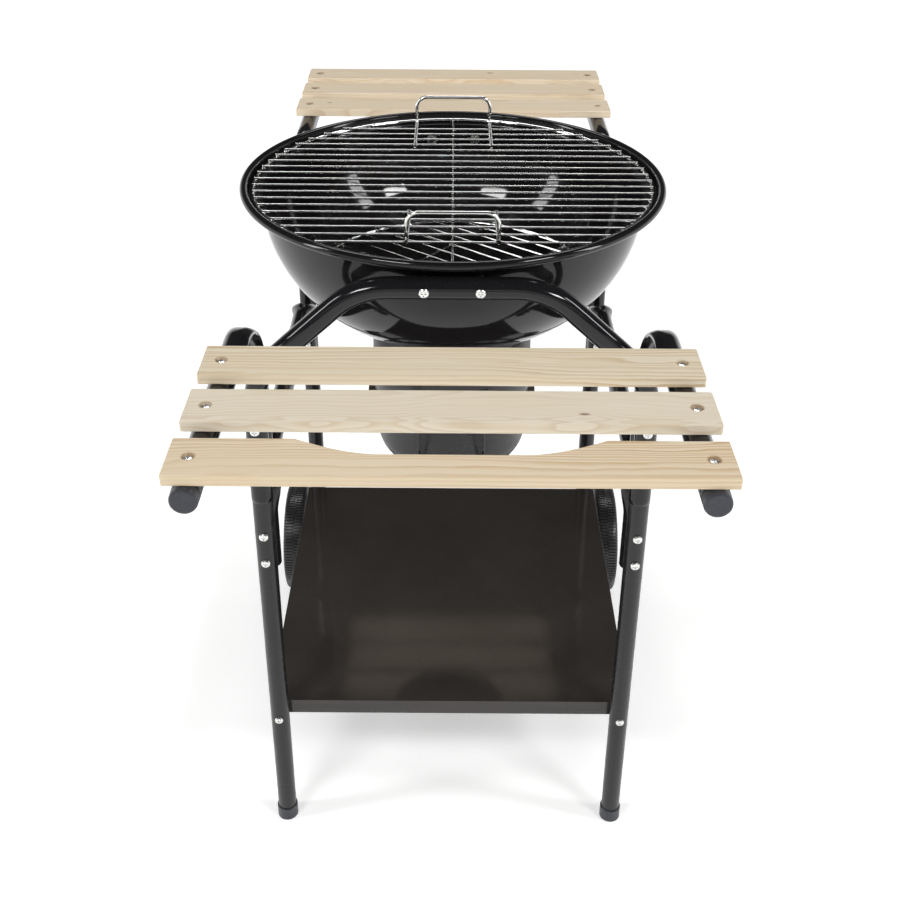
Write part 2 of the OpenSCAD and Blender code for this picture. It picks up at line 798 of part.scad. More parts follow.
// Two wires under the pot from front to rear, joined by a bar at each end.
module pot_cradle() {
    under_z = pot_side(0)[0].y - cradle_wire_r - 0.2;
    outline = [
        [-cradle_front_y, cradle_pivot_z], [-cradle_front_y, 505], [-97, 466], [-72, 432],
        [-38, under_z], [38, under_z], [72, 432], [97, 466],
        [cradle_y, 505], [cradle_y, cradle_pivot_z]
    ];
    color([0.35, 0.35, 0.35]) {
        both_x()
            upright_yz(-cradle_x)
                rod_path(outline, [20, 30, 30, 40, 40, 30, 30, 20], cradle_wire_r);
        for (y = [-cradle_front_y, cradle_y])
            along_x(-cradle_x - 1, y, cradle_pivot_z) cylinder(r = cradle_wire_r, h = 2 * cradle_x + 2);
    }
}

module vent_damper() {
    lever_w = 14;
    lever_start = 60;
    lever_end = 138;
    lever_drop = 16;
    color([0.6, 0.6, 0.6])
        difference() {
            union() {
                translate([0, 0, damper_z]) cylinder(r = damper_r, h = damper_t);
                translate([-lever_w / 2, lever_start, damper_z])
                    cube([lever_w, lever_end - lever_start, damper_t]);
                translate([-lever_w / 2, lever_end - damper_t, damper_z - lever_drop])
                    cube([lever_w, damper_t, lever_drop + damper_t]);
            }
            for (i = [0 : vent_count - 1])
                rotate([0, 0, 30 + i * 360 / vent_count]) vent(damper_z - 1, 5);
            translate([0, 0, damper_z - 1]) cylinder(r = bolt_r + running_gap, h = 5);
        }
}

module damper_pivot() {
    color([0.8, 0.8, 0.78])
        translate([0, 0, bowl_floor_z + bowl_wall]) mirror([0, 0, 1]) bolt(14);
}

module damper_nut() {
    color([0.75, 0.75, 0.73])
        translate([0, 0, damper_z - 0.5 - nut_h]) nut();
}

// ---- drawing ----------------------------------------------------------------

left_front_leg();
right_front_leg();
left_rear_leg();
right_rear_leg();
front_bowl_hoop();
rear_bowl_hoop();
left_side_rail();
right_side_rail();
front_left_table_arm();
front_right_table_arm();
rear_left_table_arm();
rear_right_table_arm();
front_slat_inner();
front_slat_middle();
front_slat_outer();
rear_slat_inner();
rear_slat_middle();
rear_slat_outer();
slat_screws();
slat_nuts();
arm_end_caps();
foot_caps();
leg_bolts();
leg_nuts();
arm_bolts();
arm_nuts();
hoop_bolts();
hoop_spacers();
hoop_washers();
hoop_nuts();
bottom_shelf();
shelf_screws();
shelf_nuts();
axle();
axle_washers();
axle_caps();
left_wheel();
right_wheel();
kettle_bowl();
cooking_grate();
front_grate_handle();
rear_grate_handle();
charcoal_grate();
ash_collar();
collar_screws();
collar_nuts();
ash_pot();
pot_cradle();
vent_damper();
damper_pivot();
damper_nut();
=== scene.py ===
"""Looks of the kettle grill: smooth tubes, enamelled kettle, ribbed wheels and planed slats."""

import json
import math

import bmesh
import bpy
from mathutils import Euler, Matrix, Vector
from mathutils.geometry import tessellate_polygon


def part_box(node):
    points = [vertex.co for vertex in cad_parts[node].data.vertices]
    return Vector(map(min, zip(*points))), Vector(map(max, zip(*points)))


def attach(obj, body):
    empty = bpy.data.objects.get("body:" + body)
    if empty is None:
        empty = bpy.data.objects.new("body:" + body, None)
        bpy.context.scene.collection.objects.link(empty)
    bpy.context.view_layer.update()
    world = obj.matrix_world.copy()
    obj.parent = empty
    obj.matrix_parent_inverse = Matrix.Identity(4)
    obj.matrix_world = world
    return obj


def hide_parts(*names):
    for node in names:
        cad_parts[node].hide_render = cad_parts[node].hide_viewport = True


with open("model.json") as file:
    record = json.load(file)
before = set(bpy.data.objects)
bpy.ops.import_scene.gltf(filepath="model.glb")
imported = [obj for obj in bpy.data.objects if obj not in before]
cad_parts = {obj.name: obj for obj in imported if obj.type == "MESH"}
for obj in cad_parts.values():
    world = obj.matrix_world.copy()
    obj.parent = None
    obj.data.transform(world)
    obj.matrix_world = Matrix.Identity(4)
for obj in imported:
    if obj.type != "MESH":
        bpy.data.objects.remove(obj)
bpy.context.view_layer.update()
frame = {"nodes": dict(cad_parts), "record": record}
NODES = frame["nodes"]
MM = 0.001


def low(node):
    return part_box(node)[0]


def high(node):
    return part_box(node)[1]


def middle(node):
    return (low(node) + high(node)) / 2


# ---- places taken from the frame ---------------------------------------------------------------

LEG_R = (high("left_front_leg").x - low("left_front_leg").x) / 2
TUBE_R = (high("left_side_rail").x - low("left_side_rail").x) / 2
STAND_X = middle("right_front_leg").x
STAND_Y = middle("right_rear_leg").y
JOINT_Z = low("front_bowl_hoop").z
HOOP_Z = middle("hoop_bolts").z
INNER_Y = high("right_side_rail").y - TUBE_R
RAIL_Z = high("right_side_rail").z - TUBE_R
RAIL_END_Z = low("right_side_rail").z
ARM_Z = middle("arm_end_caps").z
ARM_TIP_Y = high("rear_right_table_arm").y
ARM_END_Z = low("rear_right_table_arm").z
RIM_R = high("kettle_bowl").x
RIM_Z = high("kettle_bowl").z
AXLE_Z = middle("axle").z
WHEEL_R = AXLE_Z - low("left_wheel").z
POT_RIM_R = high("ash_pot").x
POT_RIM_Z = high("ash_pot").z
TABLE_Z = high("front_slat_inner").z

# ---- shape values that the frame's boxes don't give ----------------------------------------------

TUBE_WALL = 1.2 * MM
HOOP_FLAT = 102 * MM
HOOP_CORNER_Z = 690 * MM
HOOP_BEND = 90 * MM
ARM_BEND = 101 * MM
RAIL_BEND = 40 * MM
BOWL_R = 235 * MM
BOWL_DEPTH = 197 * MM
BOWL_POWER = 2.1
BOWL_FLOOR_R = 98 * MM
SHEET = 1.6 * MM
PIVOT_HOLE_R = 3.1 * MM
VENT_COUNT = 3
VENT_ANGLE = 38
VENT_INNER_R = 24 * MM
VENT_OUTER_R = 76 * MM
POT_WALL = 1.2 * MM
POT_R = 99 * MM
POT_FLOOR_ANGLE = 62
POT_CURVE_Z = 475 * MM
POT_ROUND = 55 * MM
CUTOUT_REACH = 134 * MM
CUTOUT_FLAT = 60 * MM
CUTOUT_DEPTH = 23 * MM
SLAT_BORE_R = 5.5 * MM
SLAT_BORE_DEPTH = 3.5 * MM

# Half width, half thickness, groove depth and lead of the tubes' squeezed bends. The legs are straight.
LEG_CRUSH = (LEG_R, LEG_R, 0.0, 0.0)
HOOP_CRUSH = (TUBE_R * 1.03, TUBE_R * 0.97, 0.0, 20 * MM)
RAIL_CRUSH = (18 * MM, 9.5 * MM, 4 * MM, 22 * MM)
ARM_CRUSH = (13.0 * MM, 4.6 * MM, 1.5 * MM, 4 * MM)

# What every slat's wood shares: how deep the growth rings' centre lies, and two colours.
HEART_DEPTH = 30.5 * MM
KNOT_COLOR = (0.16, 0.075, 0.03)
SCREW_HOLE_BROWN = (0.26, 0.13, 0.05)

DUST_COLOR = (0.16, 0.15, 0.14)

CAMERA_PLACE = (0.0, -1.419, 1.365)
CAMERA_PITCH = 28.5
CAMERA_ROLL = 0.38


# ---- node helpers --------------------------------------------------------------------------------


class Shader:
    """A material with one Principled shader and short calls for the nodes that feed it."""

    def __init__(self, name, color, roughness, metallic=0.0, coat=0.0, specular=0.5):
        self.material = bpy.data.materials.new(name)
        self.material.use_nodes = True
        self.tree = self.material.node_tree
        self.shader = self.tree.nodes["Principled BSDF"]
        self.set("Base Color", (*color, 1.0))
        self.set("Roughness", roughness)
        self.set("Metallic", metallic)
        self.set("Coat Weight", coat)
        self.set("Specular IOR Level", specular)
        self.coords = self.add("ShaderNodeTexCoord").outputs["Object"]

    def set(self, socket, value):
        self.shader.inputs[socket].default_value = value

    def add(self, kind, **settings):
        node = self.tree.nodes.new(kind)
        for key, value in settings.items():
            setattr(node, key, value)
        return node

    def plug(self, value, socket):
        """Links an output to a socket, or sets the socket to a number or a colour."""
        if isinstance(value, bpy.types.NodeSocket):
            self.tree.links.new(value, socket)
        elif isinstance(value, tuple) and len(value) == 3 and socket.type == "RGBA":
            socket.default_value = (*value, 1.0)
        else:
            socket.default_value = value

    def to(self, socket, output):
        self.tree.links.new(output, self.shader.inputs[socket])

    def math(self, operation, a, b=0.0, clamp=False):
        node = self.add("ShaderNodeMath", operation=operation, use_clamp=clamp)
        self.plug(a, node.inputs[0])
        self.plug(b, node.inputs[1])
        return node.outputs[0]

    def distance(self, a, b):
        total = self.math("ADD", self.math("MULTIPLY", a, a), self.math("MULTIPLY", b, b))
        return self.math("SQRT", total)

    def mix(self, factor, a, b):
        node = self.add("ShaderNodeMix", data_type="RGBA")
        self.plug(factor, node.inputs["Factor"])
        self.plug(a, node.inputs["A"])
        self.plug(b, node.inputs["B"])
        return node.outputs["Result"]

    def stretch(self, scale, offset=(0.0, 0.0, 0.0)):
        node = self.add("ShaderNodeMapping")
        self.plug(self.coords, node.inputs["Vector"])
        node.inputs["Scale"].default_value = scale
        node.inputs["Location"].default_value = offset
        return node.outputs["Vector"]

    def noise(self, scale, detail=2.0, rough=0.5, distortion=0.0, vector=None):
        node = self.add("ShaderNodeTexNoise")
        self.plug(vector or self.coords, node.inputs["Vector"])
        node.inputs["Scale"].default_value = scale
        node.inputs["Detail"].default_value = detail
        node.inputs["Roughness"].default_value = rough
        node.inputs["Distortion"].default_value = distortion
        return node.outputs["Fac"]

    def spread(self, value, from_low, from_high, to_low, to_high):
        node = self.add("ShaderNodeMapRange")
        self.plug(value, node.inputs["Value"])
        for socket, number in (
            ("From Min", from_low),
            ("From Max", from_high),
            ("To Min", to_low),
            ("To Max", to_high),
        ):
            node.inputs[socket].default_value = number
        return node.outputs["Result"]

    def ramp(self, value, *stops):
        node = self.add("ShaderNodeValToRGB")
        self.plug(value, node.inputs["Fac"])
        elements = node.color_ramp.elements
        while len(elements) < len(stops):
            elements.new(0.5)
        for element, (place, color) in zip(elements, stops):
            element.position = place
            element.color = (*color, 1.0)
        return node.outputs["Color"]

    def bump(self, height, strength, distance, under=None):
        node = self.add("ShaderNodeBump")
        self.plug(height, node.inputs["Height"])
        node.inputs["Strength"].default_value = strength
        node.inputs["Distance"].default_value = distance
        if under is not None:
            self.plug(under, node.inputs["Normal"])
        self.to("Normal", node.outputs["Normal"])
        return node.outputs["Normal"]

    def edge_wear(self, low_point, high_point):
        """1 on sharp convex edges, broken up by noise, and 0 elsewhere."""
        pointy = self.add("ShaderNodeNewGeometry").outputs["Pointiness"]
        edges = self.spread(pointy, low_point, high_point, 0.0, 1.0)
        broken = self.spread(self.noise(260.0, 4.0, 0.6), 0.48, 0.62, 0.0, 1.0)
        return self.math("MULTIPLY", edges, broken, clamp=True)


# ---- materials -----------------------------------------------------------------------------------


def scaled(color, *factors):
    """The colour times one factor, or times one factor for each channel, kept below white."""
    return tuple(min(1.0, c * f) for c, f in zip(color, factors * 3 if len(factors) == 1 else factors))


def gloss_paint(name, color, roughness, dust=0.5, peel=0.12, specular=0.5):
    """Sprayed gloss paint on steel: orange peel, faint handling marks and a little dust."""
    s = Shader(name, color, roughness, specular=specular)
    patches = s.noise(9.0, 3.0, 0.6)
    specks = s.spread(s.noise(900.0, 2.0, 0.7), 0.66, 0.74, 0.0, dust)
    tone = s.mix(patches, scaled(color, 0.8), scaled(color, 1.35))
    s.to("Base Color", s.mix(specks, tone, DUST_COLOR))
    smear = s.noise(1.0, 4.0, 0.65, 0.6, s.stretch((14.0, 14.0, 40.0)))
    uneven = s.spread(smear, 0.35, 0.7, roughness * 0.75, roughness * 1.45)
    s.to("Roughness", s.math("ADD", uneven, s.math("MULTIPLY", specks, 0.25)))
    coarse = s.bump(s.noise(38.0, 2.0, 0.5), peel * 0.35, 0.6 * MM)
    s.bump(s.noise(420.0, 2.0, 0.5), peel, 0.12 * MM, coarse)
    return s.material


def enamel():
    """Black vitreous enamel: deep gloss with a slow waviness, pin-prick specks and a few scuffs."""
    s = Shader("Black enamel", (0.006, 0.006, 0.007), 0.07, specular=0.32)
    specks = s.spread(s.noise(1300.0, 1.0, 0.5), 0.72, 0.78, 0.0, 0.7)
    tone = s.mix(s.noise(6.0, 3.0, 0.6), (0.004, 0.004, 0.005), (0.010, 0.009, 0.009))
    s.to("Base Color", s.mix(specks, tone, (0.12, 0.12, 0.12)))
    smear = s.noise(1.0, 5.0, 0.7, 1.2, s.stretch((7.0, 7.0, 12.0)))
    s.to("Roughness", s.spread(smear, 0.35, 0.75, 0.04, 0.11))
    wavy = s.bump(s.noise(13.0, 1.0, 0.4), 0.10, 2.5 * MM)
    s.bump(s.noise(300.0, 2.0, 0.5), 0.05, 0.15 * MM, wavy)
    return s.material


def plated(name, color, roughness, tint=(0.42, 0.33, 0.24), tint_amount=0.35, scale=1.0,
           rough_bump=0.12):
    """Plated steel: mottled tone, cloudy roughness, a fine grain bump and a little brown discolouring.
    """
    s = Shader(name, color, roughness, metallic=1.0)
    stain = s.spread(s.noise(24.0 * scale, 4.0, 0.65), 0.56, 0.76, 0.0, tint_amount)
    shade = s.mix(s.noise(60.0 * scale, 2.0), scaled(color, 0.82), scaled(color, 1.08))
    s.to("Base Color", s.mix(stain, shade, tint))
    cloud = s.noise(140.0 * scale, 3.0, 0.6)
    s.to("Roughness", s.spread(cloud, 0.3, 0.7, roughness * 0.6, roughness * 1.5))
    s.bump(s.noise(700.0 * scale, 3.0, 0.6), rough_bump, 0.08 * MM)
    return s.material


def moulded(name, color, roughness, grain=900.0, strength=0.25):
    """Moulded plastic with a fine spark-eroded grain and rubbed, greyer edges."""
    s = Shader(name, color, roughness)
    cloud = s.noise(18.0, 3.0, 0.6)
    tone = s.mix(cloud, scaled(color, 0.75), scaled(color, 1.4))
    s.to("Base Color", s.mix(s.edge_wear(0.54, 0.62), tone, tuple(c + 0.05 for c in color)))
    s.to("Roughness", s.spread(s.noise(55.0, 4.0, 0.6), 0.3, 0.7, roughness * 0.8, roughness * 1.2))
    s.bump(s.noise(grain, 3.0, 0.6), strength, 0.1 * MM)
    return s.material


def pine(name, seed, tone, heart_y, screw_y, figure, wander, knots=()):
    """Planed pine, grain along X. heart_y is where the growth rings' centre lies under the slat.

    screw_y is the line of the slat's screws, where the wood round their heads is browner. figure is
    the strength of the grain lines and wander how far they stray sideways.
    """
    s = Shader(name, tone, 0.5, coat=0.08)
    s.set("Coat Roughness", 0.35)
    split = s.add("ShaderNodeSeparateXYZ")
    s.plug(s.coords, split.inputs[0])
    x, y, z = split.outputs
    shift = (seed * 3.7, seed * 1.3, seed * 2.1)
    sway = s.noise(1.0, 3.0, 0.5, 0.0, s.stretch((3.2, 5.0, 5.0), shift))
    waver = s.noise(1.0, 3.0, 0.55, 0.0, s.stretch((14.0, 60.0, 60.0), shift))
    across = s.math("ADD", s.math("SUBTRACT", y, heart_y), s.spread(sway, 0.2, 0.8, -wander, wander))
    depth = s.math("SUBTRACT", z, TABLE_Z - HEART_DEPTH)
    rings = s.distance(across, depth)
    rings = s.math("ADD", rings, s.spread(waver, 0.2, 0.8, -1.1 * MM, 1.1 * MM))
    knot_dark = None
    for knot_x, knot_y, radius in knots:
        dx = s.math("MULTIPLY", s.math("SUBTRACT", x, knot_x), 0.45)
        dy = s.math("SUBTRACT", y, knot_y)
        reach = s.distance(dx, dy)
        near = s.math("EXPONENT", s.math("MULTIPLY", reach, -1.0 / (2.2 * radius)))
        rings = s.math("ADD", rings, s.math("MULTIPLY", near, 2.6 * radius))
        dark = s.spread(reach, radius * 0.35, radius * 0.8, 1.0, 0.0)
        knot_dark = dark if knot_dark is None else s.math("MAXIMUM", knot_dark, dark)
    crowding = s.noise(1.0, 2.0, 0.5, 0.0, s.stretch((0.8, 30.0, 30.0), shift))
    pitch = s.spread(crowding, 0.3, 0.7, 190.0, 250.0)
    phase = s.math("FRACT", s.math("MULTIPLY", rings, pitch))
    late = scaled(tone, 0.74, 0.58, 0.40)
    pale = scaled(tone, 1.05, 1.08, 1.16)
    grain = s.ramp(phase, (0.0, pale), (0.45, tone), (0.84, late), (0.93, late), (1.0, pale))
    faint = s.noise(1.0, 2.0, 0.5, 0.0, s.stretch((2.0, 26.0, 26.0), shift))
    fade = s.spread(faint, 0.35, 0.7, 0.2 * figure, figure)
    color = s.mix(fade, tone, grain)
    fibre = s.noise(1.0, 4.0, 0.65, 0.0, s.stretch((16.0, 900.0, 900.0), shift))
    color = s.mix(s.spread(fibre, 0.35, 0.72, 0.0, 0.16), color, scaled(tone, 0.72))
    cloud = s.noise(1.0, 3.0, 0.6, 0.0, s.stretch((5.0, 18.0, 18.0), shift))
    color = s.mix(s.spread(cloud, 0.45, 0.75, 0.0, 0.22), color, scaled(tone, 0.93, 0.80, 0.62))
    if knot_dark is not None:
        color = s.mix(s.math("MULTIPLY", knot_dark, 0.85), color, KNOT_COLOR)
    # The wood in and round each sunk screw hole is browner, fading out 4.5 to 7 mm from the screw along
    # a ragged edge.
    dx = s.math("SUBTRACT", s.math("ABSOLUTE", x), STAND_X)
    dy = s.math("SUBTRACT", y, screw_y)
    ragged = s.math("ADD", s.distance(dx, dy), s.spread(waver, 0.2, 0.8, -1.5 * MM, 1.5 * MM))
    screw_hole_brown = s.spread(ragged, 4.5 * MM, 7.0 * MM, 0.75, 0.0)
    color = s.mix(screw_hole_brown, color, SCREW_HOLE_BROWN)
    s.to("Base Color", color)
    s.to("Roughness", s.spread(fibre, 0.3, 0.75, 0.42, 0.62))
    ridge = s.bump(phase, 0.05, 0.25 * MM)
    s.bump(fibre, 0.22, 0.2 * MM, ridge)
    return s.material


BLACK_TUBE = gloss_paint("Black tube paint", (0.007, 0.007, 0.008), 0.10, dust=0.3, peel=0.07,
                         specular=0.38)
LEG_PAINT = gloss_paint("Leg paint", (0.010, 0.010, 0.011), 0.22, specular=0.42)
SHELF_PAINT = gloss_paint("Shelf paint", (0.030, 0.026, 0.0235), 0.09, dust=0.5, peel=0.03)
POT_PAINT = gloss_paint("Pot paint", (0.013, 0.012, 0.012), 0.28, specular=0.42)
ENAMEL = enamel()
CHROME = plated("Chrome wire", (0.84, 0.84, 0.83), 0.10, tint=(0.50, 0.42, 0.32), tint_amount=0.25,
                rough_bump=0.04)
ZINC = plated("Zinc plate", (0.82, 0.82, 0.80), 0.24, tint=(0.55, 0.50, 0.40), scale=3.0)
STEEL = plated("Plain steel", (0.45, 0.45, 0.46), 0.34, scale=2.0)
ALUMINIUM = plated("Damper sheet", (0.66, 0.67, 0.68), 0.36, tint=(0.4, 0.38, 0.36))
CAP_PLASTIC = moulded("Cap plastic", (0.020, 0.022, 0.030), 0.42)
WHEEL_PLASTIC = moulded("Wheel plastic", (0.020, 0.020, 0.021), 0.34, grain=700.0, strength=0.15)

SLATS = {
    "front_slat_inner": (1, (0.64, 0.555, 0.41), -0.050, 1.0, 7 * MM),
    "front_slat_middle": (2, (0.65, 0.578, 0.455), 0.030, 0.45, 30 * MM),
    "front_slat_outer": (3, (0.64, 0.525, 0.365), -0.034, 1.0, 14 * MM),
    "rear_slat_inner": (4, (0.73, 0.615, 0.455), 0.030, 0.5, 18 * MM),
    "rear_slat_middle": (5, (0.73, 0.615, 0.455), -0.020, 0.5, 18 * MM),
    "rear_slat_outer": (6, (0.72, 0.605, 0.445), 0.034, 0.5, 18 * MM),
}
KNOTS = {
    "rear_slat_inner": ((-0.190, 0.407, 3.0 * MM),),
    "rear_slat_outer": ((0.060, 0.575, 4.0 * MM),),
    "front_slat_middle": ((0.118, -0.497, 3.5 * MM),),
}

FINISHES = {
    "black_enamel": ENAMEL,
    "black_tube": BLACK_TUBE,
    "shelf_enamel": SHELF_PAINT,
    "chrome_wire": CHROME,
    "zinc_plate": ZINC,
    "plain_steel": STEEL,
    "damper_aluminium": ALUMINIUM,
    "cap_plastic": CAP_PLASTIC,
    "wheel_plastic": WHEEL_PLASTIC,
}
NODE_FINISHES = {"ash_pot": POT_PAINT, "ash_collar": POT_PAINT}

# ---- mesh helpers --------------------------------------------------------------------------------


def new_piece(name, verts, faces, material, body, replaced):
    """A smooth mesh piece riding on a body in place of its CAD nodes."""
    mesh = bpy.data.meshes.new(name)
    mesh.from_pydata([tuple(v) for v in verts], [], faces)
    bm = bmesh.new()
    bm.from_mesh(mesh)
    bmesh.ops.recalc_face_normals(bm, faces=bm.faces)
    bm.to_mesh(mesh)
    bm.free()
    mesh.polygons.foreach_set("use_smooth", [True] * len(mesh.polygons))
    mesh.materials.append(material)
    piece = bpy.data.objects.new(name, mesh)
    bpy.context.scene.collection.objects.link(piece)
    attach(piece, body)
    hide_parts(*replaced)
    return piece


def stitch(rings, cap_start=False, cap_end=False):
    """Vertices and quads through a list of closed rings with the same number of points."""
    count = len(rings[0])
    verts = [v for ring in rings for v in ring]
    faces = []
    for i in range(len(rings) - 1):
        for j in range(count):
            k = (j + 1) % count
            faces.append((i * count + j, i * count + k, (i + 1) * count + k, (i + 1) * count + j))
    if cap_start:
        faces.append(tuple(range(count)))
    if cap_end:
        faces.append(tuple((len(rings) - 1) * count + j for j in range(count)))
    return verts, faces


def bent_path(corners, bends):
    """A path through corners rounded to the bend radii, and the spans of its bends.

    The path is (point, direction, distance travelled); a span is the distances it runs between.
    """
    points = [Vector(c) for c in corners]
    dirs = [(b - a).normalized() for a, b in zip(points, points[1:])]
    step = 5 * MM
    path = []
    start = points[0]
    spans = []
    travelled = 0.0

    def straight(a, b, direction):
        nonlocal travelled
        length = (b - a).length
        steps = max(1, round(length / step))
        for i in range(steps):
            path.append((a + (b - a) * i / steps, direction, travelled + length * i / steps))
        travelled += length

    for i, radius in enumerate(bends):
        before, after = dirs[i], dirs[i + 1]
        turn = before.angle(after)
        cut = radius * math.tan(turn / 2)
        corner = points[i + 1]
        straight(start, corner - before * cut, before)
        toward = (after - before * before.dot(after)).normalized()
        centre = corner - before * cut + toward * radius
        steps = max(6, round(radius * turn / (0.5 * step)))
        for j in range(steps):
            a = turn * j / steps
            place = centre - toward * radius * math.cos(a) + before * radius * math.sin(a)
            heading = before * math.cos(a) + toward * math.sin(a)
            path.append((place, heading, travelled + radius * a))
        spans.append((travelled, travelled + radius * turn))
        travelled += radius * turn
        start = corner + after * cut
    straight(start, points[-1], dirs[-1])
    path.append((points[-1], dirs[-1], travelled))
    return path, spans


def smooth_step(t):
    t = min(1.0, max(0.0, t))
    return t * t * (3 - 2 * t)


def crush_at(place, spans, lead):
    """How far a tube is squeezed at this place: 1 in the middle of a bend, 0 on the straights."""
    amount = 0.0
    for begin, end in spans:
        half = (end - begin) / 2 + lead
        amount = max(amount, smooth_step(1.35 * (1 - abs(place - (begin + end) / 2) / half)))
    return amount


def tube(name, corners, bends, radius, side, material, replaced, crush):
    """A hollow tube of the trolley along a planar path, its ends open.

    side is the path plane's normal, and crush the shape of the squeezed bends.
    """
    segments = 48
    path, spans = bent_path(corners, bends)
    side = Vector(side)
    width, thickness, groove, lead = crush

    def ring(point, heading, size, squeeze=0.0):
        up = side.cross(heading).normalized()
        points = []
        for i in range(segments):
            a = 2 * math.pi * i / segments
            u, v = size * math.cos(a), size * math.sin(a)
            if squeeze > 0.0:
                u *= 1 + squeeze * (width / radius - 1)
                v *= 1 + squeeze * (thickness / radius - 1)
                dent = groove * squeeze * math.exp(-((u / (0.33 * radius)) ** 2))
                v -= math.copysign(min(dent, abs(v)), v)
            points.append(point + side * u + up * v)
        return points

    rings = [
        ring(point, heading, radius, crush_at(place, spans, lead))
        for point, heading, place in path
    ]
    inner = radius - TUBE_WALL
    inside = 40 * MM
    edge = 0.3 * MM
    first, first_dir, _ = path[0]
    last, last_dir, _ = path[-1]
    head = [
        ring(first + first_dir * inside, first_dir, inner),
        ring(first + first_dir * edge, first_dir, inner),
        ring(first, first_dir, inner + edge),
        ring(first, first_dir, radius - edge),
        ring(first + first_dir * edge, first_dir, radius),
    ]
    tail = [
        ring(last - last_dir * edge, last_dir, radius),
        ring(last, last_dir, radius - edge),
        ring(last, last_dir, inner + edge),
        ring(last - last_dir * edge, last_dir, inner),
        ring(last - last_dir * inside, last_dir, inner),
    ]
    verts, faces = stitch(head + rings[1:-1] + tail, cap_start=True, cap_end=True)
    new_piece(name, verts, faces, material, "trolley", replaced)


def lathe(profile, segments, centre=(0.0, 0.0)):
    """Rings of (radius, height) points about a vertical axis."""
    turns = [2 * math.pi * i / segments for i in range(segments)]
    return [
        [
            Vector((centre[0] + radius * math.cos(a), centre[1] + radius * math.sin(a), height))
            for a in turns
        ]
        for radius, height in profile
    ]


def fillet(points, radii, steps=5):
    """A polyline with each inner corner rounded to its radius."""
    result = [points[0]]
    for before, corner, after, radius in zip(points, points[1:], points[2:], radii):
        corner_v = Vector(corner)
        a = (Vector(before) - corner_v).normalized()
        b = (Vector(after) - corner_v).normalized()
        if radius <= 0 or abs(a.dot(b)) > 0.9999:
            result.append(corner)
            continue
        half = a.angle(b) / 2
        reach = radius / math.tan(half)
        centre = corner_v + (a + b).normalized() * (radius / math.sin(half))
        begin = corner_v + a * reach - centre
        end = corner_v + b * reach - centre
        for i in range(steps + 1):
            t = i / steps
            mixed = begin.lerp(end, t)
            result.append(tuple(centre + mixed.normalized() * radius))
    result.append(points[-1])
    return result


# ---- stand ---------------------------------------------------------------------------------------


def build_legs():
    for side, x in (("left", -STAND_X), ("right", STAND_X)):
        for end, y in (("front", -STAND_Y), ("rear", STAND_Y)):
            node = f"{side}_{end}_leg"
            bottom = low(node).z
            corners = [(x, y, bottom), (x, y, JOINT_Z + 6 * MM)]
            tube(f"{node}_tube", corners, [], LEG_R, (1, 0, 0), LEG_PAINT, [node], LEG_CRUSH)


def build_hoops():
    for end, y in (("front", -STAND_Y), ("rear", STAND_Y)):
        corners = [
            (-STAND_X, y, JOINT_Z),
            (-STAND_X, y, HOOP_CORNER_Z),
            (-HOOP_FLAT, y, HOOP_Z),
            (HOOP_FLAT, y, HOOP_Z),
            (STAND_X, y, HOOP_CORNER_Z),
            (STAND_X, y, JOINT_Z),
        ]
        tube(f"{end}_hoop_tube", corners, [HOOP_BEND] * 4, TUBE_R, (0, 1, 0), BLACK_TUBE,
             [f"{end}_bowl_hoop"], HOOP_CRUSH)


def build_rails():
    for side, x in (("left", -STAND_X), ("right", STAND_X)):
        corners = [
            (x, -INNER_Y, RAIL_END_Z),
            (x, -INNER_Y, RAIL_Z),
            (x, INNER_Y, RAIL_Z),
            (x, INNER_Y, RAIL_END_Z),
        ]
        tube(f"{side}_rail_tube", corners, [RAIL_BEND] * 2, TUBE_R, (1, 0, 0), BLACK_TUBE,
             [f"{side}_side_rail"], RAIL_CRUSH)


def build_arms():
    for side, x in (("left", -STAND_X), ("right", STAND_X)):
        for end, sign in (("front", -1), ("rear", 1)):
            corners = [
                (x, sign * ARM_TIP_Y, ARM_Z),
                (x, sign * INNER_Y, ARM_Z),
                (x, sign * INNER_Y, ARM_END_Z),
            ]
            tube(f"{end}_{side}_arm_tube", corners, [ARM_BEND], TUBE_R, (1, 0, 0), BLACK_TUBE,
                 [f"{end}_{side}_table_arm"], ARM_CRUSH)


# ---- tables --------------------------------------------------------------------------------------


def slat_outline(node, cutout):
    """The slat's plan outline, anticlockwise, with the hand cut-out on its kettle side."""
    lo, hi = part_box(node)
    corner = 1.6 * MM
    points = [(lo.x, lo.y), (hi.x, lo.y), (hi.x, hi.y), (lo.x, hi.y)]
    outline = []
    for i, place in enumerate(points):
        rounded = fillet([points[i - 1], place, points[(i + 1) % 4]], [corner], 4)[1:-1]
        outline += [tuple(point) for point in rounded]
        if cutout and i == 2:
            steps = 20
            run = [
                (
                    CUTOUT_FLAT + (CUTOUT_REACH - CUTOUT_FLAT) * (1 - k / steps),
                    hi.y - CUTOUT_DEPTH * math.sin(math.pi / 2 * k / steps),
                )
                for k in range(steps + 1)
            ]
            outline += run + [(-x, y) for x, y in reversed(run)]
    return outline


def moved_in(outline, amount):
    """The outline shrunk by an amount along its corners' normals."""
    result = []
    count = len(outline)
    for i, place in enumerate(outline):
        before = (Vector(place) - Vector(outline[i - 1])).normalized()
        after = (Vector(outline[(i + 1) % count]) - Vector(place)).normalized()
        inward = (Vector((-before.y, before.x)) + Vector((-after.y, after.x))).normalized()
        reach = amount / max(0.5, inward.dot(Vector((-after.y, after.x))))
        result.append(tuple(Vector(place) + inward * reach))
    return result


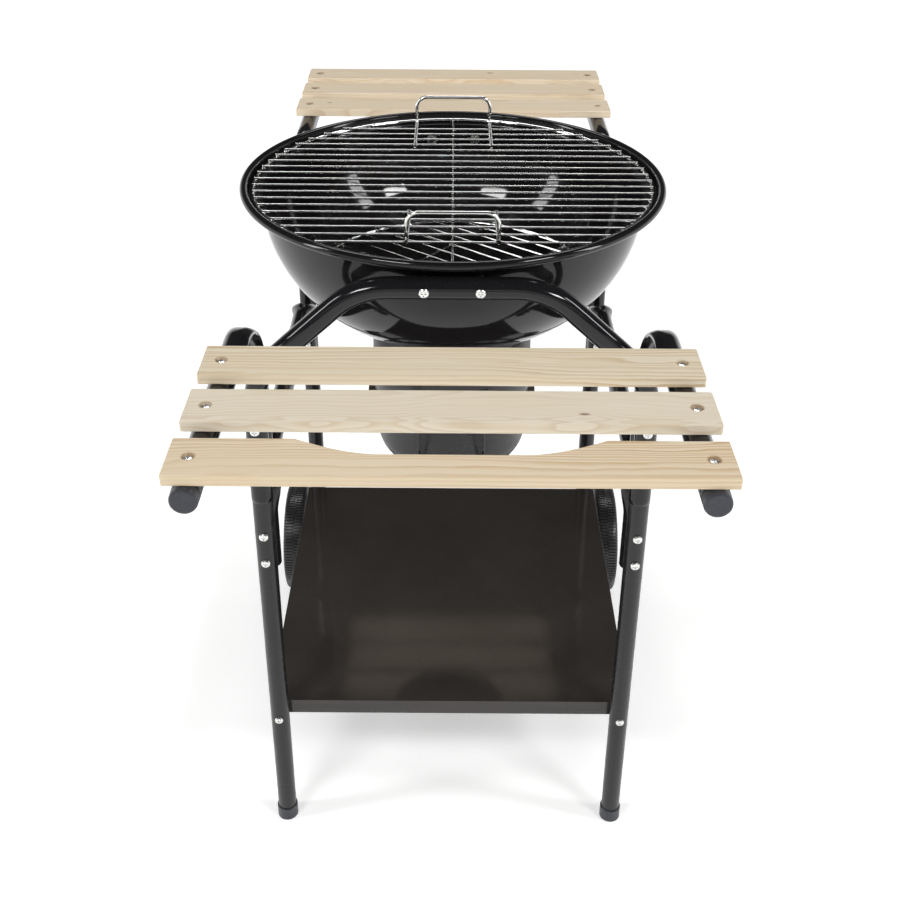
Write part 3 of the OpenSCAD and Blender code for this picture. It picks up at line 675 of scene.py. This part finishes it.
def build_slat(node, material, cutout):
    """A slat with rounded edges and a sunk hole for each screw."""
    lo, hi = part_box(node)
    edge, steps = 1.3 * MM, 4
    hole_segments = 40
    angles = [math.pi / 2 * i / steps for i in range(steps + 1)]
    outline = slat_outline(node, cutout)
    rings = []
    for a in reversed(angles):
        rings.append([Vector((x, y, lo.z + edge * (1 - math.sin(a))))
                      for x, y in moved_in(outline, edge * (1 - math.cos(a)))])
    for a in angles:
        rings.append([Vector((x, y, hi.z - edge * (1 - math.sin(a))))
                      for x, y in moved_in(outline, edge * (1 - math.cos(a)))])
    verts, faces = stitch(rings, cap_start=True)
    rim = list(range(len(verts) - len(outline), len(verts)))
    loops = [rim]
    lip = 0.5 * MM
    for x in (-STAND_X, STAND_X):
        profile = [
            (SLAT_BORE_R + lip * (1 - math.cos(a)), hi.z - lip * (1 - math.sin(a)))
            for a in reversed(angles)
        ]
        profile.append((SLAT_BORE_R, hi.z - SLAT_BORE_DEPTH))
        hole = lathe(profile, hole_segments, (x, middle(node).y))
        hole_verts, hole_faces = stitch(hole, cap_end=True)
        start = len(verts)
        verts += hole_verts
        faces += [tuple(v + start for v in face) for face in hole_faces]
        loops.append([start + k for k in reversed(range(hole_segments))])
    order = [v for loop in loops for v in loop]
    for triangle in tessellate_polygon([[verts[v] for v in loop] for loop in loops]):
        faces.append(tuple(order[v] for v in triangle))
    piece = new_piece(f"{node}_board", verts, faces, material, "trolley", [node])
    for polygon in piece.data.polygons:
        polygon.use_smooth = max(abs(part) for part in polygon.normal) < 0.9999


def build_slats():
    for node, (seed, tone, heart, figure, wander) in SLATS.items():
        place = middle(node).y
        knots = KNOTS.get(node, ())
        material = pine(f"Pine {seed}", seed, tone, place + heart, place, figure, wander, knots)
        build_slat(node, material, node == "front_slat_outer")


# ---- kettle --------------------------------------------------------------------------------------

BOWL_WIDEST_Z = RIM_Z - 10 * MM
LIP_R = 5 * MM
LIP_Z = RIM_Z - LIP_R
LEDGE_R = RIM_R - 2 * LIP_R
LEDGE_Z = RIM_Z - 12 * MM


def bowl_height(radius):
    return BOWL_WIDEST_Z - BOWL_DEPTH * (1 - (radius / BOWL_R) ** BOWL_POWER) ** (1 / BOWL_POWER)


def bowl_wall(shrink):
    """Points of the kettle's wall from its floor up, moved inwards by shrink."""
    steps = 44
    points = []
    for i in range(steps + 1):
        r = BOWL_FLOOR_R + (BOWL_R - 0.4 * MM - BOWL_FLOOR_R) * math.sin(math.pi / 2 * i / steps)
        points.append((r - shrink * r / BOWL_R, bowl_height(r) + shrink * (1 - r / BOWL_R)))
    return points


def build_kettle():
    segments = 256
    outer = bowl_wall(0.0)
    inner = bowl_wall(SHEET)
    step = fillet(
        [
            outer[-2],
            (BOWL_R, LEDGE_Z - SHEET),
            (LEDGE_R + SHEET, LEDGE_Z - SHEET),
            (LEDGE_R + SHEET, LIP_Z - 3.4 * MM),
        ],
        [2.5 * MM, 1.5 * MM],
    )
    centre_r = RIM_R - LIP_R
    lip = [
        (centre_r + LIP_R * math.cos(math.radians(a)), LIP_Z + LIP_R * math.sin(math.radians(a)))
        for a in range(-132, 160, 12)
    ]
    seat = fillet(
        [(LEDGE_R, LIP_Z), (LEDGE_R, LEDGE_Z), (BOWL_R - SHEET - 0.2 * MM, LEDGE_Z), inner[-2]],
        [2.5 * MM, 1.5 * MM],
    )
    profile = outer[:-1] + step[1:] + lip + seat[:-1] + inner[-2::-1]
    rings = lathe(profile, segments)
    verts, faces = stitch(rings)
    floor_verts, floor_faces = kettle_floor(len(verts), segments)
    count = len(rings)
    for j in range(segments):
        k = (j + 1) % segments
        faces.append((j, k, (count - 1) * segments + k, (count - 1) * segments + j))
    new_piece("kettle_enamel", verts + floor_verts, faces + floor_faces, ENAMEL, "trolley",
              ["kettle_bowl"])


def in_vent(angle, radius):
    """True inside one of the floor's sector-shaped air holes."""
    if not VENT_INNER_R < radius < VENT_OUTER_R:
        return False
    for i in range(VENT_COUNT):
        centre = 30 + i * 360 / VENT_COUNT
        if abs((math.degrees(angle) - centre + 180) % 360 - 180) < VENT_ANGLE / 2:
            return True
    return False


def kettle_floor(offset, segments):
    """The kettle's flat floor as a thin plate of small cells with the air holes left out."""
    floor_z = bowl_height(BOWL_FLOOR_R)
    radii = [PIVOT_HOLE_R, 14 * MM, VENT_INNER_R, 37 * MM, 50 * MM, 63 * MM, VENT_OUTER_R, 87 * MM,
             BOWL_FLOOR_R]
    verts = []
    for z in (floor_z, floor_z + SHEET):
        for ring in lathe([(radius, z) for radius in radii], segments):
            verts += ring
    layer = len(radii) * segments
    solid = set()
    for i in range(len(radii) - 1):
        for j in range(segments):
            angle = 2 * math.pi * (j + 0.5) / segments
            if not in_vent(angle, (radii[i] + radii[i + 1]) / 2):
                solid.add((i, j))
    faces = []
    for i, j in sorted(solid):
        k = (j + 1) % segments
        corners = [(i, j), (i, k), (i + 1, k), (i + 1, j)]
        bottom = [offset + a * segments + b for a, b in corners]
        faces.append(tuple(bottom))
        faces.append(tuple(v + layer for v in bottom))
        neighbours = [(i - 1, j), (i, k), (i + 1, j), (i, (j - 1) % segments)]
        for side in range(4):
            if neighbours[side] not in solid and neighbours[side][0] < len(radii) - 1:
                a, b = bottom[side], bottom[(side + 1) % 4]
                faces.append((a, b, b + layer, a + layer))
    return verts, faces


def build_pot():
    segments = 160
    steps = 18
    angles = [math.radians(POT_FLOOR_ANGLE * i / steps) for i in range(steps, -1, -1)]
    outer = [(POT_R * math.cos(a), POT_CURVE_Z - POT_ROUND * math.sin(a)) for a in angles]
    inner_r, inner_round = POT_R - POT_WALL, POT_ROUND - POT_WALL
    inner = [(inner_r * math.cos(a), POT_CURVE_Z - inner_round * math.sin(a)) for a in angles]
    rim = fillet(
        [
            outer[-1],
            (POT_R, POT_RIM_Z - POT_WALL),
            (POT_RIM_R, POT_RIM_Z - POT_WALL),
            (POT_RIM_R, POT_RIM_Z),
            (POT_R - POT_WALL, POT_RIM_Z),
            inner[-1],
        ],
        [2 * MM, 0.5 * MM, 0.5 * MM, 2.5 * MM],
    )
    profile = [(0.5 * MM, outer[0][1])] + outer + rim[1:-1] + inner[::-1] + [(0.5 * MM, inner[0][1])]
    verts, faces = stitch(lathe(profile, segments), cap_start=True, cap_end=True)
    new_piece("ash_pot_pressing", verts, faces, POT_PAINT, "ash_pot_body", ["ash_pot"])


# ---- wheels --------------------------------------------------------------------------------------


def build_wheel(node, body):
    """A moulded wheel: two rows of tread ribs, a groove between them, and dished sides with ribs."""
    ribs = 112
    per_rib = 6
    segments = ribs * per_rib
    centre = middle(node)
    half = (high(node).x - low(node).x) / 2
    groove = 2.0 * MM
    tread = [
        (-half, -7.0), (-half + 0.8 * MM, -4.0), (-half + 2.5 * MM, -1.6), (-half + 5.5 * MM, -0.3),
        (-half + 9 * MM, 0.0), (-2.2 * MM, 0.0), (-1.2 * MM, 0.0), (-1.0 * MM, -1.6), (1.0 * MM, -1.6),
        (1.2 * MM, 0.0), (2.2 * MM, 0.0), (half - 9 * MM, 0.0), (half - 5.5 * MM, -0.3),
        (half - 2.5 * MM, -1.6), (half - 0.8 * MM, -4.0), (half, -7.0),
    ]
    outline = [(x, WHEEL_R + drop * MM, True) for x, drop in tread]
    recess = fillet(
        [
            (half, WHEEL_R - 9 * MM),
            (half - 2 * MM, WHEEL_R - 16 * MM),
            (3 * MM, WHEEL_R - 22 * MM),
            (3 * MM, 19 * MM),
            (half - 0.5 * MM, 17 * MM),
            (half, 15.5 * MM),
            (half, 4.2 * MM),
        ],
        [2 * MM, 4 * MM, 3 * MM, 1 * MM, 0.6 * MM],
    )
    outline += [(x, r, False) for x, r in recess]
    outline += [(-x, r, False) for x, r in reversed(recess)]
    rings = []
    for x, radius, ribbed in outline:
        ring = []
        for i in range(segments):
            row = 0 if x < 0 else per_rib // 2
            in_groove = (i + row) % per_rib in (0, 1)
            cut = ribbed and in_groove and abs(x) > 1.5 * MM and radius > WHEEL_R - 8 * MM
            r = radius - (groove if cut else 0.0)
            a = 2 * math.pi * i / segments
            ring.append(centre + Vector((x, r * math.cos(a), r * math.sin(a))))
        rings.append(ring)
    verts, faces = stitch(rings)
    last = (len(rings) - 1) * segments
    for j in range(segments):
        k = (j + 1) % segments
        faces.append((last + j, last + k, k, j))
    add_web_ribs(verts, faces, centre, half)
    piece = new_piece(f"{node}_moulding", verts, faces, WHEEL_PLASTIC, body, [node])
    piece.data.set_sharp_from_angle(angle=math.radians(40))


def add_web_ribs(verts, faces, centre, half):
    """Eight stiffening ribs on each side of the web, from hub to rim."""
    rib_count = 8
    thick = 1.4 * MM
    for side in (-1, 1):
        for i in range(rib_count):
            a = 2 * math.pi * (i + 0.25 * (side + 1)) / rib_count
            out = Vector((0, math.cos(a), math.sin(a)))
            along = Vector((0, -math.sin(a), math.cos(a)))
            start = len(verts)
            for reach, height in ((15 * MM, half - 3 * MM), (WHEEL_R - 17 * MM, half - 7 * MM)):
                section = ((2.5 * MM, thick * 1.5), (height - 0.6 * MM, thick), (height, thick * 0.7))
                for x, width in section:
                    place = centre + out * reach + Vector((side * x, 0, 0))
                    verts += [place - along * width, place + along * width]
            for k in range(2):
                a0, b0 = start + 2 * k, start + 6 + 2 * k
                faces.append((a0, a0 + 2, b0 + 2, b0))
                faces.append((a0 + 1, b0 + 1, b0 + 3, a0 + 3))
            faces.append((start + 4, start + 5, start + 11, start + 10))
            for s in (start, start + 6):
                faces.append((s, s + 1, s + 3, s + 2))
                faces.append((s + 2, s + 3, s + 5, s + 4))


# ---- carried-over CAD nodes ----------------------------------------------------------------------


def soften(piece):
    """Joins a CAD node's split vertices and rounds its hard edges."""
    weld = piece.modifiers.new("weld", "WELD")
    weld.merge_threshold = 0.005 * MM
    bevel = piece.modifiers.new("bevel", "BEVEL")
    bevel.width = 1.0 * MM
    bevel.segments = 3
    bevel.limit_method = "ANGLE"
    bevel.angle_limit = math.radians(50)


def dress_nodes():
    slots = {part["node"]: part["material_slot"] for part in frame["record"]["subparts"]}
    for node, piece in NODES.items():
        if node in SLATS:
            continue
        if node == "bottom_shelf":
            soften(piece)
        piece.data.materials.clear()
        piece.data.materials.append(NODE_FINISHES.get(node) or FINISHES[slots[node]])


# ---- stage, lights, camera -----------------------------------------------------------------------


def build_floor():
    half = 14.0
    corners = [(-half, -half, 0), (half, -half, 0), (half, half, 0), (-half, half, 0)]
    mesh = bpy.data.meshes.new("floor")
    mesh.from_pydata(corners, [], [(0, 1, 2, 3)])
    floor = bpy.data.objects.new("studio_floor", mesh)
    bpy.context.scene.collection.objects.link(floor)
    s = Shader("Pale floor", (0.93, 0.93, 0.93), 0.9, specular=0.1)
    s.to("Base Color", s.mix(s.noise(0.6, 2.0), (0.925, 0.925, 0.925), (0.935, 0.935, 0.935)))
    # The floor glows a little more away from the grill, where the softboxes don't reach.
    away = s.add("ShaderNodeVectorMath", operation="LENGTH")
    s.plug(s.coords, away.inputs[0])
    s.set("Emission Color", (1.0, 1.0, 1.0, 1.0))
    s.to("Emission Strength", s.spread(away.outputs["Value"], 1.0, 6.0, 0.36, 1.25))
    mesh.materials.append(s.material)


def softbox(name, place, target, width, height, power):
    light = bpy.data.lights.new(name, "AREA")
    light.shape = "RECTANGLE"
    light.size = width
    light.size_y = height
    light.energy = power
    lamp = bpy.data.objects.new(name, light)
    lamp.location = place
    lamp.rotation_euler = (Vector(target) - Vector(place)).to_track_quat("-Z", "Y").to_euler()
    lamp.visible_camera = False
    bpy.context.scene.collection.objects.link(lamp)


def build_lights():
    softbox("left_key", (-1.25, -1.9, 2.55), (0, 0, 0.7), 0.8, 0.4, 28)
    softbox("right_key", (1.95, -1.9, 2.55), (0, 0, 0.7), 0.8, 0.4, 34)
    softbox("left_strip", (-2.6, -0.8, 1.7), (0, 0, 0.6), 0.4, 1.8, 30)
    softbox("right_strip", (2.6, -0.8, 1.7), (0, 0, 0.6), 0.4, 1.8, 30)
    softbox("top_box", (0.0, 1.9, 3.6), (0, 0, 0.6), 2.6, 0.7, 50)
    world = bpy.data.worlds.new("studio")
    world.use_nodes = True
    tree = world.node_tree
    background = tree.nodes["Background"]
    coords = tree.nodes.new("ShaderNodeTexCoord")
    split = tree.nodes.new("ShaderNodeSeparateXYZ")
    ramp = tree.nodes.new("ShaderNodeValToRGB")
    tree.links.new(coords.outputs["Generated"], split.inputs[0])
    tree.links.new(split.outputs["Z"], ramp.inputs["Fac"])
    tree.links.new(ramp.outputs["Color"], background.inputs["Color"])
    ramp.color_ramp.elements[0].position = 0.10
    ramp.color_ramp.elements[0].color = (0.95, 0.95, 0.95, 1)
    ramp.color_ramp.elements[1].position = 0.26
    ramp.color_ramp.elements[1].color = (0.05, 0.05, 0.05, 1)
    background.inputs["Strength"].default_value = 1.0
    bpy.context.scene.world = world


def build_camera():
    data = bpy.data.cameras.new("camera")
    data.sensor_width = 36.0
    data.lens = 48.86
    data.shift_x = -0.0021
    data.shift_y = -0.1167
    camera = bpy.data.objects.new("camera", data)
    camera.location = CAMERA_PLACE
    tilt = Euler((math.radians(90 - CAMERA_PITCH), 0.0, 0.0)).to_matrix()
    roll = Matrix.Rotation(math.radians(CAMERA_ROLL), 3, "Z")
    camera.rotation_euler = (tilt @ roll).to_euler()
    bpy.context.scene.collection.objects.link(camera)
    bpy.context.scene.camera = camera


dress_nodes()
build_legs()
build_hoops()
build_rails()
build_arms()
build_slats()
build_kettle()
build_pot()
build_wheel("left_wheel", "left_wheel_body")
build_wheel("right_wheel", "right_wheel_body")
build_floor()
build_lights()
build_camera()
bpy.context.scene.view_settings.view_transform = "Standard"
